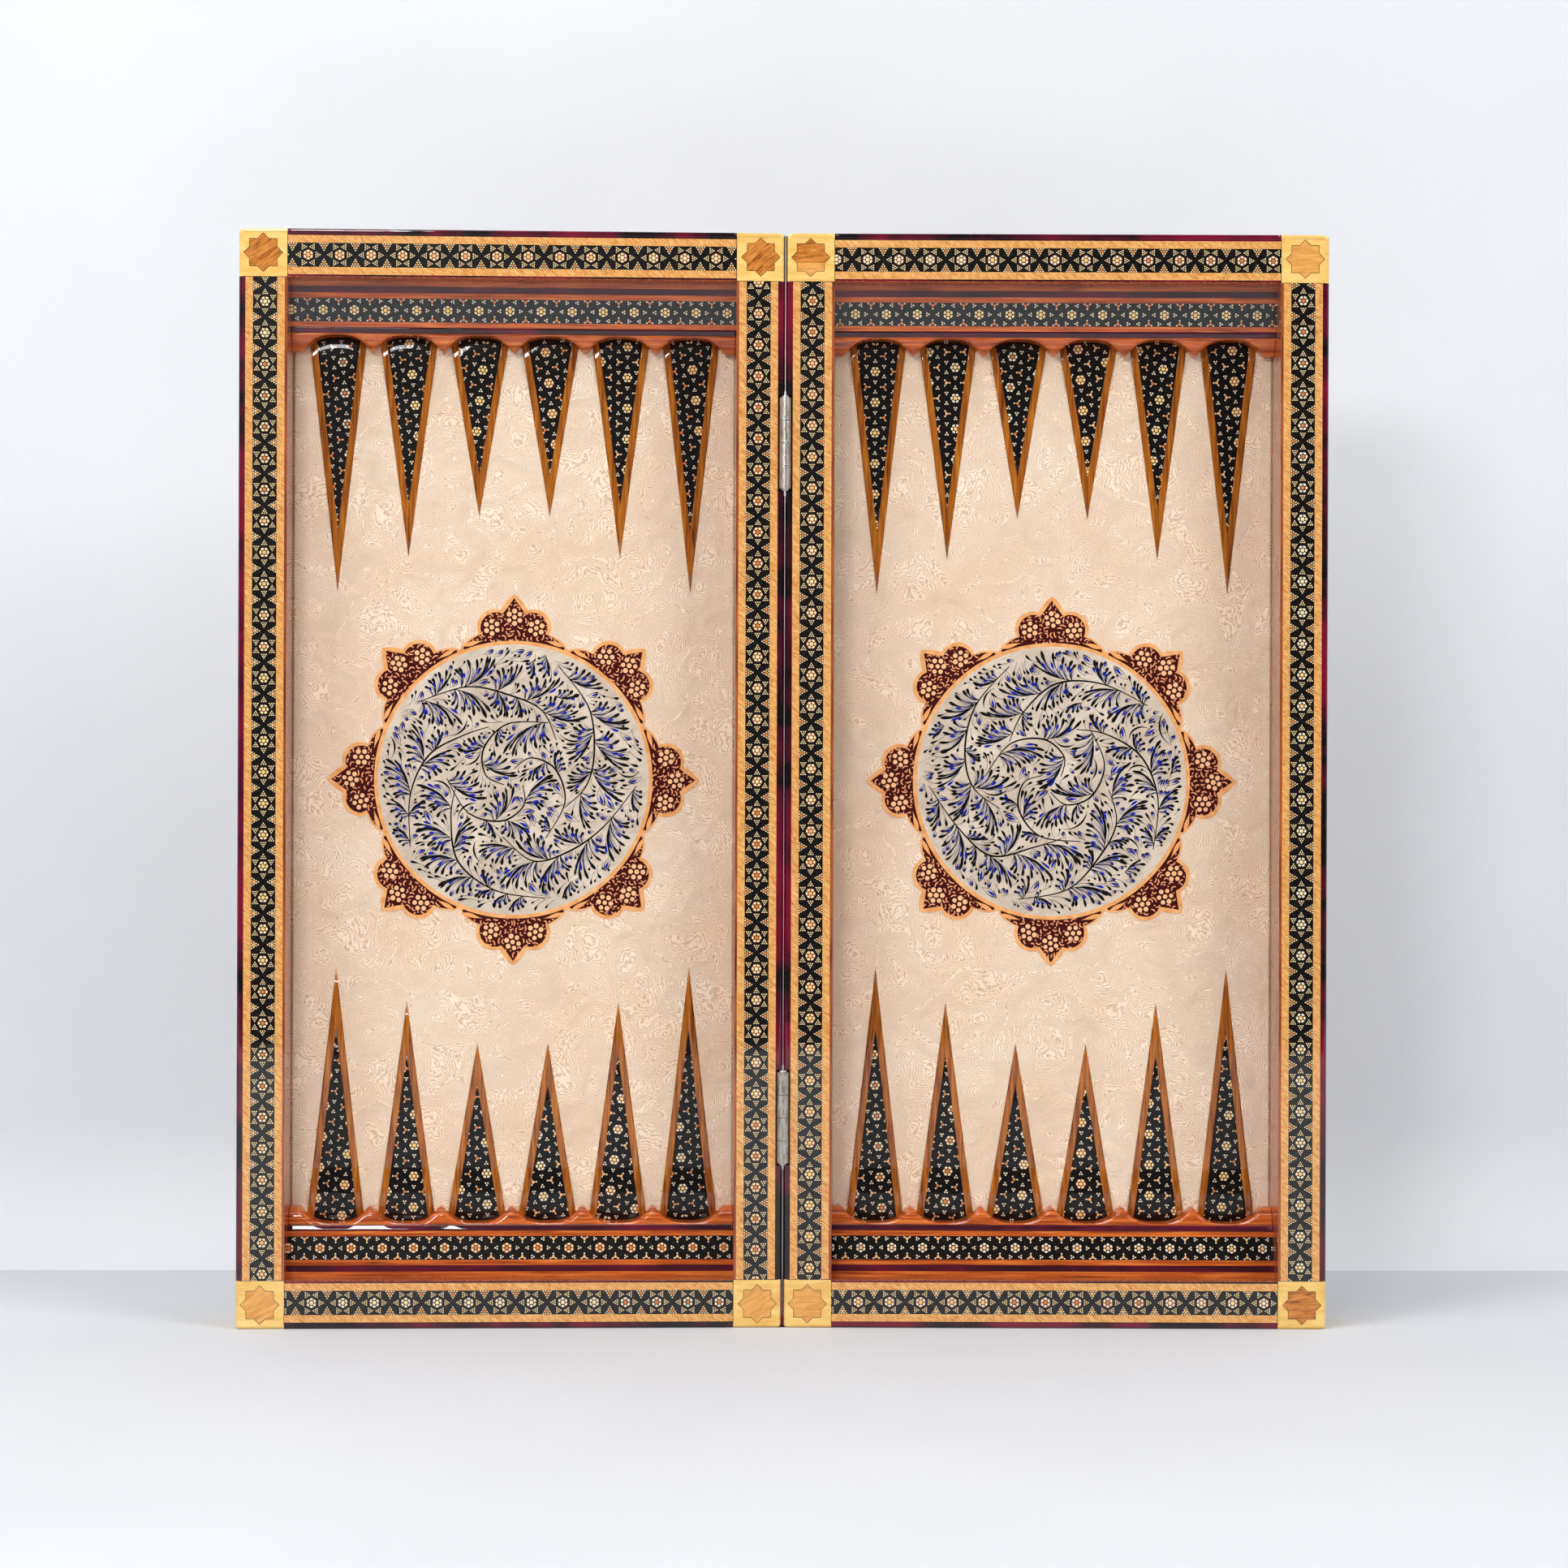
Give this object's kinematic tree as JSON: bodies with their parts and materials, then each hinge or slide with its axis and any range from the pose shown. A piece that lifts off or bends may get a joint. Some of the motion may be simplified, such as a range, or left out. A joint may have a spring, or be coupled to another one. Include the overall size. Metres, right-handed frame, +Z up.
{
  "type": "folding backgammon board",
  "caption": "Two hinged shallow trays that open into a backgammon board, with mosaic inlaid frames, scalloped rests, inlaid points and a painted medallion in each.",
  "frame": {"origin": "on the floor, in the middle of the opened board's width and depth", "axes": "+Z up along the hinge axis, +X to the right seen from the open side of the trays, which faces -Y"},
  "size_m": [0.4982, 0.043, 0.5],
  "materials": {
    "boxwood": "gloss lacquer",
    "light_line": "gloss lacquer",
    "dark_lacquer": "gloss lacquer",
    "star_wood": "gloss lacquer",
    "mosaic": "gloss lacquer",
    "rest_wood": "gloss lacquer",
    "border_wood": "gloss lacquer",
    "plain_wood": "matt",
    "walnut": "gloss lacquer",
    "leather": "embossed, satin",
    "painted_rays": "painted, satin",
    "painted_disc": "painted, satin",
    "hinge_steel": "worn"
  },
  "bodies": {
    "right_tray": {"right_corner_posts": "boxwood", "right_bottom_rail": "dark_lacquer", "right_top_rail": "dark_lacquer", "right_outer_stile": "dark_lacquer", "right_hinge_stile": "dark_lacquer", "right_face_lines": "light_line", "right_face_mosaic": "mosaic", "right_back_lines": "light_line", "right_back_mosaic": "mosaic", "right_corner_stars": "star_wood", "right_base_board": "plain_wood", "right_back_panel": "walnut", "right_back_medallion": "painted_rays", "right_bottom_rest": "rest_wood", "right_top_rest": "rest_wood", "right_bottom_lip": "rest_wood", "right_top_lip": "rest_wood", "right_rest_mosaic": "mosaic", "right_rest_lines": "dark_lacquer", "right_bed_leather": "leather", "right_point_cores": "mosaic", "right_point_borders": "border_wood", "right_medallion_rays": "painted_rays", "right_medallion_ring": "light_line", "right_medallion_disc": "painted_disc", "upper_hinge_right_leaf": "hinge_steel", "lower_hinge_right_leaf": "hinge_steel", "upper_hinge_pin": "hinge_steel", "lower_hinge_pin": "hinge_steel", "right_hinge_screws": "hinge_steel"},
    "left_tray": {"left_corner_posts": "boxwood", "left_bottom_rail": "dark_lacquer", "left_top_rail": "dark_lacquer", "left_outer_stile": "dark_lacquer", "left_hinge_stile": "dark_lacquer", "left_face_lines": "light_line", "left_face_mosaic": "mosaic", "left_back_lines": "light_line", "left_back_mosaic": "mosaic", "left_corner_stars": "star_wood", "left_base_board": "plain_wood", "left_back_panel": "walnut", "left_back_medallion": "painted_rays", "left_bottom_rest": "rest_wood", "left_top_rest": "rest_wood", "left_bottom_lip": "rest_wood", "left_top_lip": "rest_wood", "left_rest_mosaic": "mosaic", "left_rest_lines": "dark_lacquer", "left_bed_leather": "leather", "left_point_cores": "mosaic", "left_point_borders": "border_wood", "left_medallion_rays": "painted_rays", "left_medallion_ring": "light_line", "left_medallion_disc": "painted_disc", "upper_hinge_left_leaf": "hinge_steel", "lower_hinge_left_leaf": "hinge_steel", "left_hinge_screws": "hinge_steel"}
  },
  "joints": [
    {"name": "fold", "type": "hinge", "parent": "right_tray", "child": "left_tray", "pos_m": [0, -0.0169, 0.25], "axis": [0, 0, 1], "range_deg": [-2.3, 177.7]}
  ]
}
